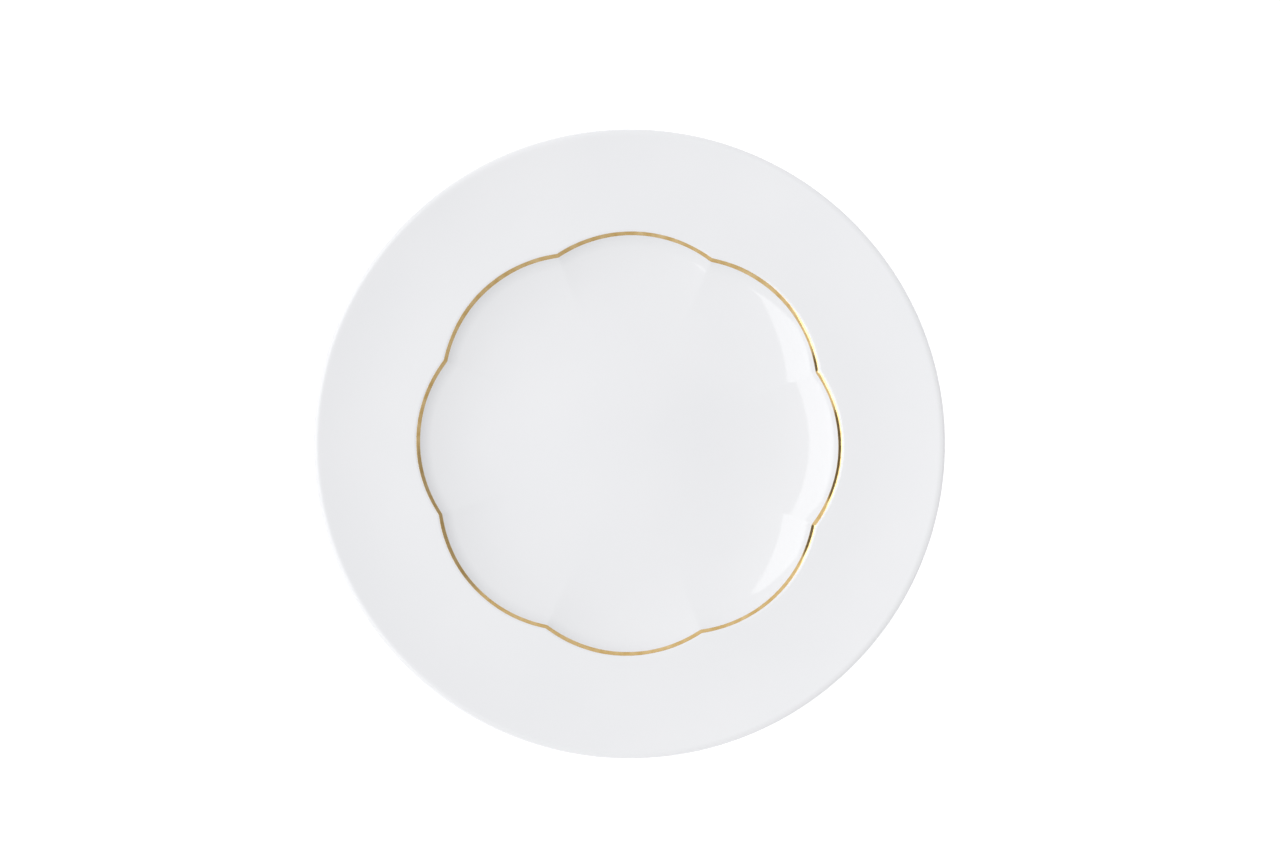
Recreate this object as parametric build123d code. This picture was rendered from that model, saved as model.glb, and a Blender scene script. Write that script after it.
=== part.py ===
"""A china dinner plate: a round rim around a well whose edge is drawn in eight shallow lobes.

Each lobe is a bowl wall turned about its own upright axis, and its neighbours meet it in a low ridge.
The rim, the underside and the foot ring are turned about the plate's own axis, +Z, with z = 0 where the
foot ring rests. The fired body is bare only under the foot ring. One coat of glaze covers its face, edge
and back, a second one covers the recess inside the foot ring, a gold line follows the well's edge, and a
small printed mark sits in the recess. Millimetres and degrees.
"""

import os
from math import cos, radians, sin

from build123d import *

# The plate as a whole
PLATE_RADIUS = 135.0
LOBES = 8
LOBE_SPREAD = 360 / LOBES
GLAZE = 0.25

# The well: a lobe's axis stands off the plate's axis, and its wall is a chain of arcs that starts level
LOBE_OFFSET = 33.9
FLOOR_Z = 9.5
WALL_START = 25.75
WALL_BENDS = [(120.0, 5.5), (83.0, 9.5), (13.04, 24.0)]
GOLD_BEND = (9.55, -11.5)
CREST_BEND = (2.75, -27.5)

# The middle of the floor is a low crown: it falls away, then levels out into the rest of the floor
CROWN_FALL, CROWN_LEVEL, CROWN_TURN = 36.0, 17.5, 3.8
CROWN_RADIUS = CROWN_FALL + CROWN_LEVEL

# The rim: level beside the well, then curving up to a rounded lip
RIM_START = 97.0
RIM_TURN = 11.0
LIP_TOP_BEND = (4.0, -28.0)
LIP_EDGE_BEND = (1.35, -156.9)

# The underside, from the rim in to the recess: (radius, z, fillet) at each corner
RECESS_Z = 5.2
SHOULDER = (97.0, 13.0, 20.0)
FOOT_TOP = (76.0, 7.2, 3.0)
FOOT_OUT = (73.8, 0.0, 0.9)
FOOT_IN = (70.4, 0.0, 0.9)
RECESS_EDGE = (69.0, RECESS_Z, 1.8)
BARE_FOOT_HEIGHT, BARE_FOOT_WIDTH = 0.9, 8.0

# The decoration
GOLD_THICKNESS = 0.12
MARK_RADIUS, MARK_LINE, MARK_THICKNESS = 11.0, 0.6, 0.06
MARK_LOBE_OFFSET, MARK_LOBE_RADIUS = 4.2, 6.4

# The height that the hollow of the well is cut down from
ABOVE = 40.0


def bend_path(start, bends, skin=0.0):
    """A chain of tangent arcs that starts level, and its last point.

    A bend is (radius, turn): it curves up where the turn is positive and down where it is negative.
    skin moves the whole chain into the material below it.
    """
    r, z = start
    heading = 0.0
    edges = []
    for radius, turn in bends:
        side = 1 if turn > 0 else -1
        centre_r = r - side * radius * sin(radians(heading))
        centre_z = z + side * radius * cos(radians(heading))

        def on_arc(angle, reach):
            return (
                centre_r + side * reach * sin(radians(angle)),
                centre_z - side * reach * cos(radians(angle)),
            )

        stops = (heading, heading + turn / 2, heading + turn)
        edges.append(ThreePointArc(*[on_arc(angle, radius + side * skin) for angle in stops]))
        heading += turn
        r, z = on_arc(heading, radius)
    return edges, (r, z)


def outline(*points):
    """The straight edges through these points, in radius and height."""
    return Polyline(*points).edges()


def turned(edges):
    """The solid that a closed outline in radius and height sweeps about the Z axis, its seam on -X."""
    return Rot(Z=180) * revolve(Plane.XZ * make_face(edges), Axis.Z)


def crown_bends():
    turn = radians(CROWN_TURN)
    return [(CROWN_FALL / sin(turn), -CROWN_TURN), (CROWN_LEVEL / sin(turn), CROWN_TURN)]


def well_bends():
    return WALL_BENDS + [GOLD_BEND, CREST_BEND]


def rim_bends():
    """The rim's rise and its lip. The rise is as wide as the plate's radius leaves room for."""
    top_radius, top_turn = LIP_TOP_BEND
    edge_radius = LIP_EDGE_BEND[0]
    past_top = sin(radians(-top_turn - RIM_TURN))
    lip_width = top_radius * (sin(radians(RIM_TURN)) + past_top) + edge_radius * (1 - past_top)
    rise_width = PLATE_RADIUS - RIM_START - lip_width
    return [(rise_width / sin(radians(RIM_TURN)), RIM_TURN), LIP_TOP_BEND, LIP_EDGE_BEND]


# The crown's height over the floor, and the crest of the well's wall (radius from the lobe's axis, z)
CROWN_RISE = -bend_path((0, 0), crown_bends())[1][1]
CREST_REACH, CREST_Z = bend_path((WALL_START, FLOOR_Z), well_bends())[1]


def filled_section():
    """The plate's outline with its well filled level with the crest, as a face in radius and height."""
    crown = bend_path((0, RECESS_Z + CROWN_RISE), crown_bends())[0]
    rim, lip_end = bend_path((RIM_START, CREST_Z), rim_bends())
    corners = [SHOULDER, FOOT_TOP, FOOT_OUT, FOOT_IN, RECESS_EDGE]
    underside = outline(lip_end, *[(r, z) for r, z, _ in corners], (CROWN_RADIUS, RECESS_Z))
    fill = outline((0, RECESS_Z + CROWN_RISE), (0, CREST_Z), (RIM_START, CREST_Z))
    section = make_face(crown + fill + rim + underside)
    for r, z, radius in corners:
        corner = section.vertices().sort_by_distance((r, z, 0))[0]
        section = fillet(corner, radius)
    return section


def body_section(glazed):
    """The outline under the glaze, which stops short of the foot ring's base."""
    across = glazed + mirror(glazed, Plane.YZ)
    shrunk = offset(across, -GLAZE) & Pos(PLATE_RADIUS, 0) * Rectangle(2 * PLATE_RADIUS, 2 * ABOVE)
    foot_middle = (FOOT_IN[0] + FOOT_OUT[0]) / 2
    bare_foot = Pos(foot_middle, 0) * Rectangle(BARE_FOOT_WIDTH, 2 * BARE_FOOT_HEIGHT)
    return shrunk + (glazed & bare_foot)


def over_crown(skin):
    """The hollow over the crowned middle of the floor."""
    start = (0, FLOOR_Z + CROWN_RISE - skin)
    floor = bend_path((0, FLOOR_Z + CROWN_RISE), crown_bends(), skin)[0]
    walls = outline((CROWN_RADIUS, FLOOR_Z - skin), (CROWN_RADIUS, ABOVE), (0, ABOVE), start)
    return turned(floor + walls)


def lobe_slice(inner, outer):
    """The tall slice of a ring that belongs to the lobe on +X."""
    walls = outline((inner, 0), (outer, 0), (outer, ABOVE), (inner, ABOVE), (inner, 0))
    return Rot(Z=-LOBE_SPREAD / 2) * revolve(Plane.XZ * make_face(walls), Axis.Z, LOBE_SPREAD)


def lobe_copies(shape):
    """The shape made for the lobe on +X, once for each lobe."""
    return [Rot(Z=LOBE_SPREAD * k) * shape for k in range(LOBES)]


def over_lobe(skin):
    """The hollow over the well's wall and crest, as far out as the rim, for the lobe on +X."""
    top = CREST_Z - skin
    floor = outline((0, ABOVE), (0, FLOOR_Z - skin), (WALL_START, FLOOR_Z - skin))
    wall = bend_path((WALL_START, FLOOR_Z), well_bends(), skin)[0]
    level = outline((CREST_REACH, top), (RIM_START, top), (RIM_START, ABOVE), (0, ABOVE))
    return (Pos(X=LOBE_OFFSET) * turned(floor + wall + level)) & lobe_slice(CROWN_RADIUS, RIM_START)


def plate(section, skin):
    """The whole plate: its filled outline turned about Z, with the lobed well cut into it."""
    top = CREST_Z - skin
    lid = Pos(RIM_START / 2, (top + ABOVE) / 2) * Rectangle(RIM_START, ABOVE - top)
    blank = turned((section + lid).edges())
    return blank.cut(over_crown(skin), *lobe_copies(over_lobe(skin)))


def gold_line():
    """The gilt band, a thin strip of each lobe's own ring that covers the wall's gold bend."""
    bends = WALL_BENDS + [GOLD_BEND]
    low = bend_path((WALL_START, FLOOR_Z), bends)[0][-1]
    high = bend_path((WALL_START, FLOOR_Z), bends, -GOLD_THICKNESS)[0][-1]
    ends = [Line(low @ place, high @ place) for place in (0, 1)]
    band = (Pos(X=LOBE_OFFSET) * turned([low, high] + ends)) & lobe_slice(CROWN_RADIUS, RIM_START)
    first, *others = lobe_copies(band)
    return first.fuse(*others).clean()


def backstamp():
    """A ring crossed by eight smaller ones, printed on the glaze of the recess."""
    ring = Circle(MARK_RADIUS) - Circle(MARK_RADIUS - MARK_LINE)
    places = [Rot(Z=LOBE_SPREAD * k) * Pos(MARK_LOBE_OFFSET, 0) for k in range(LOBES)]
    flower = Sketch() + [place * Circle(MARK_LOBE_RADIUS) for place in places]
    flower -= Sketch() + [place * Circle(MARK_LOBE_RADIUS - MARK_LINE) for place in places]
    outlines = extrude(Sketch() + [ring, flower], 2 * RECESS_Z)
    bends = crown_bends()[:1]
    top, top_end = bend_path((0, RECESS_Z + CROWN_RISE), bends)
    low, low_end = bend_path((0, RECESS_Z + CROWN_RISE - MARK_THICKNESS), bends)
    ends = [
        Line((0, RECESS_Z + CROWN_RISE), (0, RECESS_Z + CROWN_RISE - MARK_THICKNESS)),
        Line(top_end, low_end),
    ]
    return outlines & turned(top + low + ends)


def main():
    os.makedirs("parts", exist_ok=True)
    section = filled_section()
    glazed = plate(section, 0.0)
    body = plate(body_section(section), GLAZE)
    coats = (glazed - body).solids().sort_by(lambda coat: coat.bounding_box().size.X)
    nodes = {
        "china_body": body,
        "foot_well_glaze": coats[0],
        "outer_glaze": coats[-1],
        "gold_line": gold_line(),
        "backstamp": backstamp(),
    }
    for name, shape in nodes.items():
        export_step(shape, f"parts/{name}.step")
        print(name, len(shape.solids()), "solids", round(shape.volume, 1), "mm3", shape.bounding_box())
    print("glaze coats", len(coats), "crest z", round(CREST_Z, 2), "crown", round(CROWN_RISE, 2))


main()
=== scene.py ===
"""A white china dinner plate with a lobed well and a gold line, on a plain pale table in soft light.

The plate is turned about +Z and z = 0 is where its foot ring rests. Its outline is drawn here in
millimetres, as in the CAD model, and its meshes are in metres, in the frame's own axes.
"""

import math

import bpy
import numpy as np
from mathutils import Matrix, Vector


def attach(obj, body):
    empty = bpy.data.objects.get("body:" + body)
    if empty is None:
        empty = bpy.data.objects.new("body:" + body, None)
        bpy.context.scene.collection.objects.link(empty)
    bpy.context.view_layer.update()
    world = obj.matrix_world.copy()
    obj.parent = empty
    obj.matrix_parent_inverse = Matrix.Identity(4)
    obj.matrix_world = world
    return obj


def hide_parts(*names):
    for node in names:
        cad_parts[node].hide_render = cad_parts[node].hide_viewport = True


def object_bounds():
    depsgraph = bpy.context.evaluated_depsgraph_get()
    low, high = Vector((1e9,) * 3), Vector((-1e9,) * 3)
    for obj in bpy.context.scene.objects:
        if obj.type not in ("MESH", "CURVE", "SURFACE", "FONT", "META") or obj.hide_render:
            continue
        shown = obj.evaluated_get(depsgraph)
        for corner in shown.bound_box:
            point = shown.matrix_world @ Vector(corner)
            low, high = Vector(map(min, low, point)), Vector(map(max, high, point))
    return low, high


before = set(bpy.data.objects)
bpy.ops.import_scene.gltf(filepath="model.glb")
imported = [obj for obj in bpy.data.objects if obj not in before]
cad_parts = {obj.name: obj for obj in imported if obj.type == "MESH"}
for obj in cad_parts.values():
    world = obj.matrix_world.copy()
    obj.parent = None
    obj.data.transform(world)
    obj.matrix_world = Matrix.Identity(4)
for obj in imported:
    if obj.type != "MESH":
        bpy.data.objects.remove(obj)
cad_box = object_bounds()
MM = 0.001

# The plate's driving sizes, the same as the CAD model's
PLATE_RADIUS = 135.0
LOBES = 8
HALF_LOBE = 180 / LOBES
GLAZE = 0.25
LOBE_OFFSET = 33.9
FLOOR_Z = 9.5
WALL_START = 25.75
WALL_BENDS = [(120.0, 5.5), (83.0, 9.5), (13.04, 24.0)]
GOLD_BEND = (9.55, -11.5)
CREST_BEND = (2.75, -27.5)
CROWN_FALL, CROWN_LEVEL, CROWN_TURN = 36.0, 17.5, 3.8
CROWN_RADIUS = CROWN_FALL + CROWN_LEVEL
RIM_START, RIM_TURN = 97.0, 11.0
LIP_TOP_BEND = (4.0, -28.0)
LIP_EDGE_BEND = (1.35, -156.9)
RECESS_Z = 5.2
SHOULDER = (97.0, 13.0, 20.0)
FOOT_TOP = (76.0, 7.2, 3.0)
FOOT_OUT = (73.8, 0.0, 0.9)
FOOT_IN = (70.4, 0.0, 0.9)
RECESS_EDGE = (69.0, RECESS_Z, 1.8)
BARE_FOOT_HEIGHT = 0.9
MARK_RADIUS, MARK_LINE, MARK_THICKNESS = 11.0, 0.6, 0.05
MARK_LOBE_OFFSET, MARK_LOBE_RADIUS = 4.2, 6.4

# How much the ridges between lobes are rounded, as an angle about the plate's axis
RIDGE_SOFT_AT_CREST, RIDGE_SOFT_AT_FLOOR = 0.22, 0.4

# The gilding: its height, how far below the crest it takes the ridges' rounding from, and the brush's
# wandering in millimetres and swelling as a part of the width, each a sum of waves round the plate
GILDING_HEIGHT = 0.025
GILDING_BELOW_CREST = 2.0
HAND_WANDER, HAND_SWELL = 0.07, 0.12
HAND_WAVES = (3, 5, 9, 14, 23, 37)
WANDER_SEED, SWELL_SEED = 4, 9

# How finely the meshes are divided: arcs and fillets in degrees, level and straight runs in millimetres
HALF_COLUMNS = 22
NOTCH_SPACING = 0.25
ARC_STEP, FILLET_STEP = 3.0, 6.0
LINE_STEP, RUN_STEP = 4.0, 8.0
GILDING_ACROSS = 10
MARK_SIDES = 96
TABLE_SIDES = 96
AT_AXIS = 1e-9

# The glaze's index of refraction, and the values that most of a noise texture lies between
GLAZE_IOR = 1.47
NOISE_LOW, NOISE_HIGH = 0.3, 0.7

# The table in metres, and its glow
TABLE_RADIUS = 12.0
TABLE_GLOW = 0.4

# The sky's brightness low down and higher up, the heights it changes over, and how it leans to one side
HORIZON, SKY = 0.82, 0.788
HORIZON_TOP, SKY_START = 0.05, 0.3
SKY_LEAN = (-0.2, 0.08, 0.0)

# Darker gaps low in the sky, (zenith, azimuth, depth), and the cosines and heights that they fade over
GAPS = [(68.0, 172.5, 0.8), (68.0, 30.0, 0.35)]
GAP_EDGE, GAP_INNER = 0.93, 0.96
GAP_LOW, GAP_HIGH = 0.12, 0.2

# The softbox, in metres and degrees
SOFTBOX_STRENGTH = 2.05
SOFTBOX_DISTANCE = 4.5
SOFTBOX_ZENITH, SOFTBOX_AZIMUTH = 36.95, 178.5
SOFTBOX_WIDE, SOFTBOX_TALL = 4.27, 3.285

# The camera: its lens in millimetres, its place in metres and degrees, and where it aims
LENS, SENSOR = 160.0, 36.0
CAMERA_ELEVATION, CAMERA_AZIMUTH = 85.0, 1.66
CAMERA_DISTANCE, CAMERA_REACH = 2.43, 50.0
AIM_RIGHT, AIM_UP = 0.0046, 0.00647


# ---------------------------------------------------------------- the plate's outline

class Row:
    """One ring of the outline: its reach, height and heading, and whether it follows the lobes."""

    def __init__(self, reach, z, heading, lobed=False):
        self.reach, self.z, self.heading, self.lobed = reach, z, heading, lobed

    def sunk(self, skin):
        """The same ring, moved by skin into the china."""
        turn = math.radians(self.heading)
        reach = self.reach + skin * math.sin(turn)
        return Row(reach, self.z - skin * math.cos(turn), self.heading, self.lobed)


def bend_rows(start, bends, heading=0.0, lobed=False, step=ARC_STEP):
    """The rings along a chain of tangent arcs, the first left out.

    A bend is (radius, turn): it curves up where the turn is positive and down where it is negative.
    """
    r, z = start
    rows = []
    for radius, turn in bends:
        side = 1 if turn > 0 else -1
        centre_r = r - side * radius * math.sin(math.radians(heading))
        centre_z = z + side * radius * math.cos(math.radians(heading))
        length = radius * math.radians(abs(turn))
        count = max(2, math.ceil(abs(turn) / step), math.ceil(length / LINE_STEP))
        for k in range(1, count + 1):
            now = heading + turn * k / count
            r = centre_r + side * radius * math.sin(math.radians(now))
            z = centre_z - side * radius * math.cos(math.radians(now))
            rows.append(Row(r, z, now, lobed))
        heading += turn
    return rows


def corner_rows(start, corners, end):
    """The rings along straight runs whose corners, (radius, z, fillet), are rounded by tangent arcs."""
    rows = []
    here = Vector(start)
    stops = [Vector(corner[:2]) for corner in corners] + [Vector(end)]
    for (r, z, fillet), after in zip(corners, stops[1:]):
        corner = Vector((r, z))
        ahead = (corner - here).normalized()
        beyond = (after - corner).normalized()
        turn = -math.degrees(ahead.angle_signed(beyond))
        back = fillet * math.tan(math.radians(abs(turn)) / 2)
        bend_start = corner - ahead * back
        rows += line_rows(here, bend_start, heading_of(ahead))
        rows += bend_rows(bend_start, [(fillet, turn)], heading_of(ahead), step=FILLET_STEP)
        here = corner + beyond * back
    ahead = (stops[-1] - here).normalized()
    rows += line_rows(here, stops[-1], heading_of(ahead))
    return rows


def heading_of(direction):
    """The heading in degrees of a direction in radius and height."""
    return math.degrees(math.atan2(direction.y, direction.x))


def line_rows(start, end, heading):
    """The rings along a straight run, the first left out."""
    count = max(1, math.ceil((end - start).length / RUN_STEP))
    points = [start.lerp(end, k / count) for k in range(1, count + 1)]
    return [Row(point.x, point.y, heading) for point in points]


def crown_bends():
    turn = math.radians(CROWN_TURN)
    return [(CROWN_FALL / math.sin(turn), -CROWN_TURN), (CROWN_LEVEL / math.sin(turn), CROWN_TURN)]


def rim_bends():
    """The rim's rise and its lip. The rise is as wide as the plate's radius leaves room for."""
    top_radius, top_turn = LIP_TOP_BEND
    edge_radius = LIP_EDGE_BEND[0]
    past_top = math.sin(math.radians(-top_turn - RIM_TURN))
    lip_width = top_radius * (math.sin(math.radians(RIM_TURN)) + past_top) + edge_radius * (1 - past_top)
    rise_width = PLATE_RADIUS - RIM_START - lip_width
    return [(rise_width / math.sin(math.radians(RIM_TURN)), RIM_TURN), LIP_TOP_BEND, LIP_EDGE_BEND]


CROWN_RISE = -bend_rows((0, 0), crown_bends())[-1].z
WALL_ROWS = bend_rows((WALL_START, FLOOR_Z), WALL_BENDS + [GOLD_BEND, CREST_BEND], lobed=True)
CREST_Z = WALL_ROWS[-1].z


def face_rows():
    """From the middle of the face out over the crown, the lobed wall, the rim and the lip."""
    middle = [Row(0.0, FLOOR_Z + CROWN_RISE, 0.0)]
    crown = bend_rows((0, FLOOR_Z + CROWN_RISE), crown_bends())
    foot_of_wall = [Row(WALL_START, FLOOR_Z, 0.0, True)]
    rim = [Row(RIM_START, CREST_Z, 0.0)] + bend_rows((RIM_START, CREST_Z), rim_bends())
    return middle + crown + foot_of_wall + WALL_ROWS + rim


def back_rows():
    """From the lip in over the back and the foot ring to the middle of the recess."""
    lip = face_rows()[-1]
    corners = [SHOULDER, FOOT_TOP, FOOT_OUT, FOOT_IN, RECESS_EDGE]
    rows = corner_rows((lip.reach, lip.z), corners, (CROWN_RADIUS, RECESS_Z))
    crown = bend_rows((0, RECESS_Z + CROWN_RISE), crown_bends())[-2::-1]
    inward = [Row(row.reach, row.z, row.heading + 180) for row in crown]
    return rows + inward + [Row(0.0, RECESS_Z + CROWN_RISE, 180.0)]


# ---------------------------------------------------------------- meshes

def column_angles():
    """The directions of the mesh's columns, closer together beside the notches."""
    steps = np.linspace(0, 1, HALF_COLUMNS + 1)
    from_notch = HALF_LOBE * (NOTCH_SPACING * steps + (1 - NOTCH_SPACING) * steps**3)
    rising = from_notch - HALF_LOBE
    lobe = np.concatenate([rising, -rising[-2:0:-1]])
    return np.concatenate([lobe + 2 * HALF_LOBE * k for k in range(LOBES)])


COLUMNS = column_angles()


def lobed_radius(reach, z, angles):
    """The distance from the plate's axis of points that stand reach away from their lobe's axis."""
    up = np.clip((z - FLOOR_Z) / (CREST_Z - FLOOR_Z), 0, 1)
    soft = RIDGE_SOFT_AT_FLOOR + (RIDGE_SOFT_AT_CREST - RIDGE_SOFT_AT_FLOOR) * up
    folded = np.abs((angles + HALF_LOBE) % (2 * HALF_LOBE) - HALF_LOBE)
    from_notch = np.sqrt((HALF_LOBE - folded) ** 2 + soft**2)
    off_axis = np.radians(HALF_LOBE - from_notch)
    return LOBE_OFFSET * np.cos(off_axis) + np.sqrt(reach**2 - (LOBE_OFFSET * np.sin(off_axis)) ** 2)


def ring_points(radius, z):
    """A ring of points in metres, one for each column, from radii and heights in millimetres."""
    turn = np.radians(COLUMNS)
    level = np.full(len(COLUMNS), z)
    return (np.stack([radius * np.cos(turn), radius * np.sin(turn), level], axis=1) * MM).tolist()


def lathe_mesh(name, rows, closed):
    """A mesh with one ring of corners for each row, or one point for a row at the axis.

    closed joins the last row to the first.
    """
    points, rings = [], []
    for row in rows:
        if not row.lobed and row.reach < AT_AXIS:
            rings.append([len(points)])
            points.append((0.0, 0.0, row.z * MM))
        else:
            radius = lobed_radius(row.reach, row.z, COLUMNS) if row.lobed else row.reach
            rings.append(list(range(len(points), len(points) + len(COLUMNS))))
            points.extend(ring_points(radius, row.z))
    pairs = list(zip(rings, rings[1:]))
    if closed:
        pairs.append((rings[-1], rings[0]))
    faces = []
    for near, far in pairs:
        faces += strip_faces(near, far)
    return mesh_object(name, points, faces)


def strip_faces(near, far):
    """The faces between two rings that wind the same way. Either may be a single point."""
    count = max(len(near), len(far))
    faces = []
    for k in range(count):
        ahead = (k + 1) % count
        if len(near) == 1 and len(far) == 1:
            return []
        if len(near) == 1:
            faces.append((near[0], far[k], far[ahead]))
        elif len(far) == 1:
            faces.append((near[k], far[0], near[ahead]))
        else:
            faces.append((near[k], far[k], far[ahead], near[ahead]))
    return faces


def mesh_object(name, points, faces):
    """A smooth-shaded object, linked to the scene."""
    mesh = bpy.data.meshes.new(name)
    mesh.from_pydata([tuple(point) for point in points], [], faces)
    mesh.validate()
    mesh.shade_smooth()
    piece = bpy.data.objects.new(name, mesh)
    bpy.context.scene.collection.objects.link(piece)
    return piece


def coat(rows):
    """A shell of glaze: its outer face along the rows, and back underneath them."""
    return rows + [row.sunk(GLAZE) for row in reversed(rows)]


def row_between(near, far, z):
    """The ring at height z on the straight run that starts at one row and ends at the next."""
    part = (z - near.z) / (far.z - near.z)
    return Row(near.reach + (far.reach - near.reach) * part, z, near.heading)


def split_at_foot():
    """The outline in three: what the outer coat covers, the bare base of the foot ring, the recess."""
    back = back_rows()
    low = [k for k, row in enumerate(back) if row.z < BARE_FOOT_HEIGHT]
    first, last = low[0], low[-1]
    outer = row_between(back[first - 1], back[first], BARE_FOOT_HEIGHT)
    inner = row_between(back[last], back[last + 1], BARE_FOOT_HEIGHT)
    outside = face_rows() + back[:first] + [outer]
    return outside, [outer] + back[first : last + 1] + [inner], [inner] + back[last + 1 :]


def make_plate():
    """The fired body and the two coats of glaze."""
    outside, base, recess = split_at_foot()
    body = [row.sunk(GLAZE) for row in outside] + base + [row.sunk(GLAZE) for row in recess]
    return {
        "china_body": lathe_mesh("fired_china", body, closed=False),
        "outer_glaze": lathe_mesh("face_and_back_glaze", coat(outside), closed=False),
        "foot_well_glaze": lathe_mesh("foot_recess_glaze", coat(recess), closed=True),
    }


# ---------------------------------------------------------------- the decoration

def hand(angles, seed):
    """A smooth wandering value from -1 to 1 all the way round, as a steady hand gives."""
    chance = np.random.default_rng(seed)
    turn = np.radians(angles)
    total = np.zeros(len(angles))
    for waves in HAND_WAVES:
        total += np.cos(waves * turn + chance.uniform(0, 2 * math.pi)) / math.sqrt(waves)
    return total / np.abs(total).max()


def gilding():
    """The gold line: a low rounded strip along the bend at the top of the wall."""
    radius, turn = GOLD_BEND
    wall_end = bend_rows((WALL_START, FLOOR_Z), WALL_BENDS)[-1]
    steepest = math.radians(wall_end.heading)
    centre_reach = wall_end.reach + radius * math.sin(steepest)
    centre_z = wall_end.z - radius * math.cos(steepest)
    middle = steepest + math.radians(turn / 2) + HAND_WANDER / radius * hand(COLUMNS, WANDER_SEED)
    half = math.radians(-turn / 2) * (1 + HAND_SWELL * hand(COLUMNS, SWELL_SEED))
    points, rings = [], []
    for k in range(2 * GILDING_ACROSS):
        across = math.cos(math.pi * k / GILDING_ACROSS)
        above = math.sin(math.pi * k / GILDING_ACROSS)
        lift = GILDING_HEIGHT * (math.sqrt(above) if above > 0 else above / 2)
        slope = middle + half * across
        reach = centre_reach - (radius + lift) * np.sin(slope)
        z = centre_z + (radius + lift) * np.cos(slope)
        away = lobed_radius(reach, CREST_Z - GILDING_BELOW_CREST, COLUMNS)
        rings.append(list(range(len(points), len(points) + len(COLUMNS))))
        points.extend(ring_points(away, z))
    faces = []
    for near, far in zip(rings, rings[1:] + rings[:1]):
        faces += strip_faces(near, far)
    return mesh_object("gold_line_gilding", points, faces)


def recess_height(radius):
    """How high the recess's glaze is at a distance from the axis, inside the crown's falling part."""
    bend = CROWN_FALL / math.sin(math.radians(CROWN_TURN))
    return RECESS_Z + CROWN_RISE - (bend - np.sqrt(bend**2 - radius**2))


def mark_ring(centre, radius, points, faces):
    """One printed ring, a flat strip on the recess's glaze."""
    turn = np.radians(np.arange(MARK_SIDES) * 360 / MARK_SIDES)
    rings = []
    for reach, depth in ((radius, 0), (radius, 1), (radius - MARK_LINE, 1), (radius - MARK_LINE, 0)):
        x = centre[0] + reach * np.cos(turn)
        y = centre[1] + reach * np.sin(turn)
        z = recess_height(np.hypot(x, y)) - MARK_THICKNESS * depth
        rings.append(list(range(len(points), len(points) + MARK_SIDES)))
        points.extend((np.stack([x, y, z], axis=1) * MM).tolist())
    for near, far in zip(rings, rings[1:] + rings[:1]):
        faces += strip_faces(near, far)


def back_mark():
    """The printed mark: a ring crossed by eight smaller ones."""
    points, faces = [], []
    mark_ring((0, 0), MARK_RADIUS, points, faces)
    for k in range(LOBES):
        turn = math.radians(2 * HALF_LOBE * k)
        centre = (MARK_LOBE_OFFSET * math.cos(turn), MARK_LOBE_OFFSET * math.sin(turn))
        mark_ring(centre, MARK_LOBE_RADIUS, points, faces)
    return mesh_object("back_mark", points, faces)


# ---------------------------------------------------------------- materials

class Nodes:
    """A material's node tree, with short calls for the nodes that these materials use."""

    def __init__(self, name):
        self.material = bpy.data.materials.new(name)
        self.material.use_nodes = True
        self.tree = self.material.node_tree
        self.shader = self.tree.nodes["Principled BSDF"]
        self.place = self.tree.nodes.new("ShaderNodeTexCoord").outputs["Object"]

    def join(self, source, target):
        self.tree.links.new(source, target)

    def noise(self, size, detail=2.0, rough=0.5):
        """Cloudy noise whose patches are about size metres across."""
        node = self.tree.nodes.new("ShaderNodeTexNoise")
        node.inputs["Scale"].default_value = 1 / size
        node.inputs["Detail"].default_value = detail
        node.inputs["Roughness"].default_value = rough
        self.join(self.place, node.inputs["Vector"])
        return node.outputs["Fac"]

    def scaled(self, value, low, high):
        """A noise value, spread from low to high."""
        node = self.tree.nodes.new("ShaderNodeMapRange")
        node.inputs["From Min"].default_value = NOISE_LOW
        node.inputs["From Max"].default_value = NOISE_HIGH
        node.inputs["To Min"].default_value = low
        node.inputs["To Max"].default_value = high
        self.join(value, node.inputs["Value"])
        return node.outputs["Result"]

    def colours(self, value, stops):
        """A colour for each value: stops are (value, colour)."""
        node = self.tree.nodes.new("ShaderNodeValToRGB")
        ramp = node.color_ramp
        while len(ramp.elements) < len(stops):
            ramp.elements.new(0.5)
        for element, (position, colour) in zip(ramp.elements, stops):
            element.position = position
            element.color = (*colour, 1.0)
        self.join(value, node.inputs["Fac"])
        return node.outputs["Color"]

    def bump(self, layers):
        """Relief from (height 0 to 1, depth in metres) layers, one on another."""
        normal = None
        for height, depth in layers:
            node = self.tree.nodes.new("ShaderNodeBump")
            node.inputs["Strength"].default_value = 1.0
            node.inputs["Distance"].default_value = depth
            self.join(height, node.inputs["Height"])
            if normal is not None:
                self.join(normal, node.inputs["Normal"])
            normal = node.outputs["Normal"]
        self.join(normal, self.shader.inputs["Normal"])


def glaze_material():
    """Clear glossy glaze over white china: faint clouding, a slow waver and a fine orange peel."""
    nodes = Nodes("white_glaze")
    cloud = nodes.noise(0.045, detail=3.0)
    tint = nodes.colours(cloud, [(NOISE_LOW, (0.797, 0.803, 0.823)), (NOISE_HIGH, (0.812, 0.816, 0.834))])
    nodes.join(tint, nodes.shader.inputs["Base Color"])
    nodes.join(nodes.scaled(nodes.noise(0.012), 0.045, 0.075), nodes.shader.inputs["Roughness"])
    nodes.shader.inputs["IOR"].default_value = GLAZE_IOR
    nodes.bump([(nodes.noise(0.03, detail=1.0), 2.5e-5), (nodes.noise(0.0035, detail=1.0), 1.2e-6)])
    return nodes.material


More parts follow.
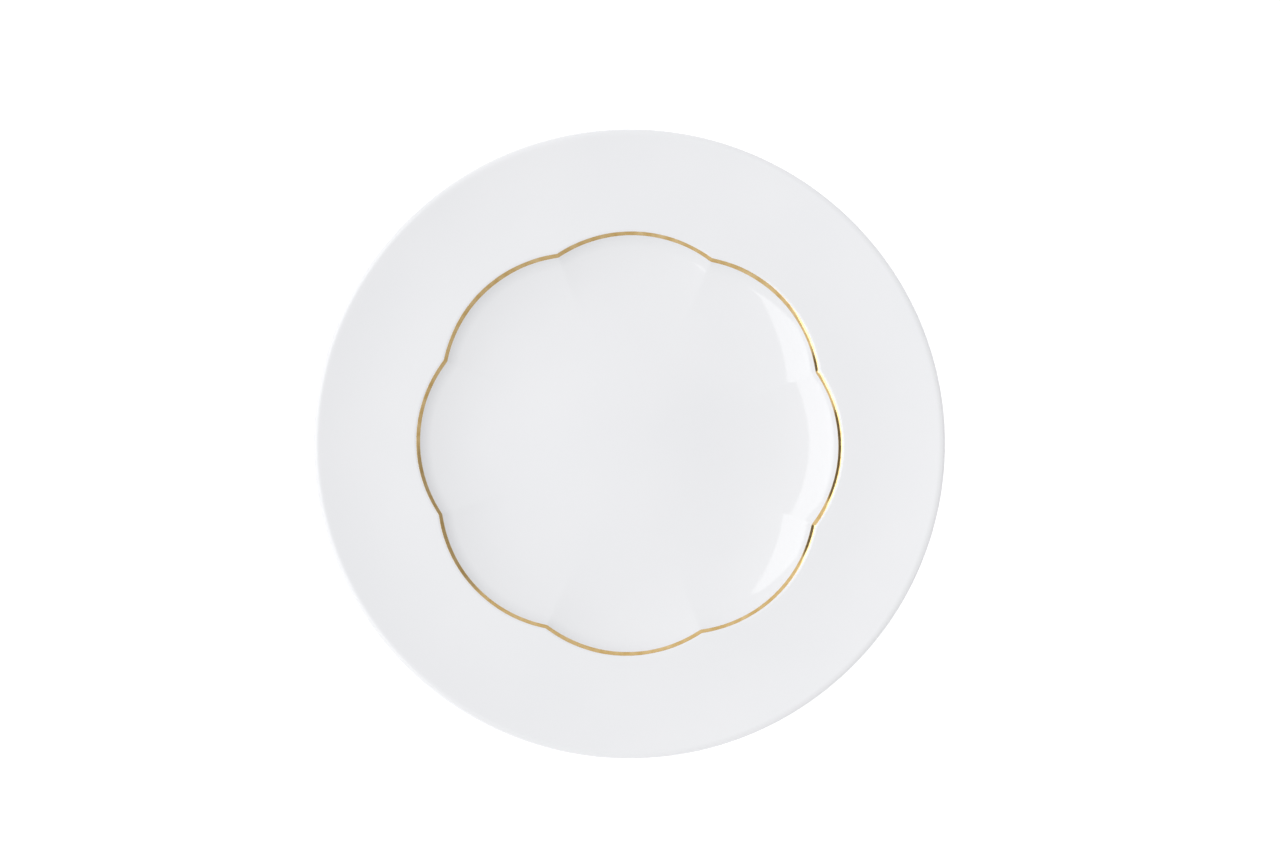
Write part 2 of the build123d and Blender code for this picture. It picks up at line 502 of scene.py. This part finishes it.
def bisque_material():
    """Unglazed fired china: matte, slightly warm, with a fine ground grain and rubbed grey patches."""
    nodes = Nodes("bare_china")
    grain = nodes.noise(0.0005, detail=6.0, rough=0.7)
    rubbed = nodes.noise(0.006, detail=4.0, rough=0.6)
    stops = [(0.25, (0.56, 0.53, 0.48)), (0.5, (0.7, 0.67, 0.61)), (0.8, (0.76, 0.73, 0.67))]
    tint = nodes.colours(rubbed, stops)
    nodes.join(tint, nodes.shader.inputs["Base Color"])
    nodes.join(nodes.scaled(grain, 0.75, 0.95), nodes.shader.inputs["Roughness"])
    nodes.bump([(grain, 3.0e-5)])
    return nodes.material


def gold_material():
    """Burnished gilding: a slightly uneven colour, a soft shine and a fine ripple."""
    nodes = Nodes("burnished_gold")
    pool = nodes.noise(0.004, detail=3.0)
    tint = nodes.colours(pool, [(NOISE_LOW, (0.68, 0.46, 0.18)), (NOISE_HIGH, (0.82, 0.61, 0.32))])
    nodes.join(tint, nodes.shader.inputs["Base Color"])
    nodes.shader.inputs["Metallic"].default_value = 1.0
    nodes.join(nodes.scaled(nodes.noise(0.0012, detail=3.0), 0.07, 0.14), nodes.shader.inputs["Roughness"])
    nodes.bump([(nodes.noise(0.0012, detail=2.0), 3.0e-6)])
    return nodes.material


def mark_material():
    """Ceramic colour printed on the glaze: blue-grey, a little uneven."""
    nodes = Nodes("printed_blue_grey")
    ink = nodes.noise(0.0008, detail=3.0)
    tint = nodes.colours(ink, [(NOISE_LOW, (0.06, 0.09, 0.15)), (NOISE_HIGH, (0.1, 0.14, 0.22))])
    nodes.join(tint, nodes.shader.inputs["Base Color"])
    nodes.join(nodes.scaled(ink, 0.2, 0.35), nodes.shader.inputs["Roughness"])
    nodes.bump([(ink, 2.0e-6)])
    return nodes.material


def table_material():
    """A pale table top that glows a little, so that it stays plain and bright."""
    nodes = Nodes("pale_table")
    shade = nodes.noise(0.4, detail=2.0)
    tint = nodes.colours(shade, [(NOISE_LOW, (0.93, 0.93, 0.93)), (NOISE_HIGH, (0.95, 0.95, 0.95))])
    nodes.join(tint, nodes.shader.inputs["Base Color"])
    nodes.shader.inputs["Roughness"].default_value = 0.9
    nodes.shader.inputs["Specular IOR Level"].default_value = 0.0
    nodes.shader.inputs["Emission Color"].default_value = (1.0, 1.0, 1.0, 1.0)
    nodes.shader.inputs["Emission Strength"].default_value = TABLE_GLOW
    return nodes.material


# ---------------------------------------------------------------- table, light and camera

def make_table():
    """A round table top, so wide that its edge only shows in a low view, as a far horizon."""
    turn = np.radians(np.arange(TABLE_SIDES) * 360 / TABLE_SIDES)
    edge = np.stack([TABLE_RADIUS * np.cos(turn), TABLE_RADIUS * np.sin(turn), 0 * turn], axis=1)
    table = mesh_object("table_top", edge.tolist(), [tuple(range(TABLE_SIDES))])
    table.data.materials.append(table_material())


def polar(zenith, azimuth):
    """The direction at these angles from +Z and, around it, from +X."""
    zenith, azimuth = math.radians(zenith), math.radians(azimuth)
    return math.sin(zenith) * math.cos(azimuth), math.sin(zenith) * math.sin(azimuth), math.cos(zenith)


def make_sky():
    """Nearly even light from all round, brighter to one side, with two darker gaps low down."""
    world = bpy.data.worlds.new("studio")
    bpy.context.scene.world = world
    world.use_nodes = True
    tree = world.node_tree
    back = tree.nodes["Background"]
    around = tree.nodes.new("ShaderNodeTexCoord").outputs["Generated"]
    split = tree.nodes.new("ShaderNodeSeparateXYZ")
    ramp = tree.nodes.new("ShaderNodeValToRGB")

    def along(direction):
        node = tree.nodes.new("ShaderNodeVectorMath")
        node.operation = "DOT_PRODUCT"
        node.inputs[1].default_value = direction
        tree.links.new(around, node.inputs[0])
        return node.outputs["Value"]

    def eased(value, start, end, low, high):
        node = tree.nodes.new("ShaderNodeMapRange")
        node.interpolation_type = "SMOOTHSTEP"
        for socket, setting in zip(("From Min", "From Max", "To Min", "To Max"), (start, end, low, high)):
            node.inputs[socket].default_value = setting
        tree.links.new(value, node.inputs["Value"])
        return node.outputs["Result"]

    def combined(operation, first, second):
        node = tree.nodes.new("ShaderNodeMath")
        node.operation = operation
        for socket, value in zip(node.inputs, (first, second)):
            if isinstance(value, float):
                socket.default_value = value
            else:
                tree.links.new(value, socket)
        return node.outputs["Value"]

    tree.links.new(around, split.inputs["Vector"])
    tree.links.new(split.outputs["Z"], ramp.inputs["Fac"])
    strength = combined("ADD", along(SKY_LEAN), 1.0)
    above_table = eased(split.outputs["Z"], GAP_LOW, GAP_HIGH, 0.0, 1.0)
    for zenith, azimuth, depth in GAPS:
        near_gap = eased(along(polar(zenith, azimuth)), GAP_EDGE, GAP_INNER, 0.0, depth)
        dimmed = combined("MULTIPLY", near_gap, above_table)
        strength = combined("MULTIPLY", strength, combined("SUBTRACT", 1.0, dimmed))
    tree.links.new(ramp.outputs["Color"], back.inputs["Color"])
    tree.links.new(strength, back.inputs["Strength"])
    stops = ((HORIZON_TOP, HORIZON), (SKY_START, SKY))
    for element, (position, value) in zip(ramp.color_ramp.elements, stops):
        element.position = position
        element.color = (value, value, value, 1.0)


def make_softbox():
    """A wide softbox to the left, facing the middle of the plate."""
    light = bpy.data.lights.new("softbox", "AREA")
    light.shape = "RECTANGLE"
    light.size = SOFTBOX_WIDE
    light.size_y = SOFTBOX_TALL
    light.energy = SOFTBOX_STRENGTH * math.pi * SOFTBOX_WIDE * SOFTBOX_TALL
    softbox = bpy.data.objects.new("softbox", light)
    bpy.context.scene.collection.objects.link(softbox)
    towards = Vector(polar(SOFTBOX_ZENITH, SOFTBOX_AZIMUTH))
    softbox.location = towards * SOFTBOX_DISTANCE
    softbox.rotation_mode = "QUATERNION"
    softbox.rotation_quaternion = towards.to_track_quat("Z", "Y")


def make_camera():
    """A long lens that looks almost straight down, aimed a little beside the plate's middle."""
    data = bpy.data.cameras.new("camera")
    data.lens, data.sensor_width = LENS, SENSOR
    data.clip_end = CAMERA_REACH
    camera = bpy.data.objects.new("camera", data)
    bpy.context.scene.collection.objects.link(camera)
    around, up = math.radians(CAMERA_AZIMUTH), math.radians(CAMERA_ELEVATION)
    back = Vector((math.sin(around) * math.cos(up), -math.cos(around) * math.cos(up), math.sin(up)))
    right = Vector((math.cos(around), math.sin(around), 0))
    ahead = Vector((-math.sin(around), math.cos(around), 0))
    aim = right * AIM_RIGHT + ahead * AIM_UP + Vector((0, 0, cad_box[1].z))
    camera.location = aim + back * CAMERA_DISTANCE
    camera.rotation_mode = "QUATERNION"
    camera.rotation_quaternion = (-back).to_track_quat("-Z", "Y")
    bpy.context.scene.camera = camera


# ---------------------------------------------------------------- putting it together

def dress(piece, node, material):
    """A piece stands for its CAD node, which it hides, with a material, hung from the root body."""
    piece.data.materials.append(material)
    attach(piece, "root")
    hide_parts(node)


def main():
    bpy.context.scene.view_settings.view_transform = "Standard"
    glaze = glaze_material()
    plate = make_plate()
    dress(plate["china_body"], "china_body", bisque_material())
    dress(plate["outer_glaze"], "outer_glaze", glaze)
    dress(plate["foot_well_glaze"], "foot_well_glaze", glaze)
    dress(gilding(), "gold_line", gold_material())
    dress(back_mark(), "backstamp", mark_material())
    make_table()
    make_sky()
    make_softbox()
    make_camera()


main()
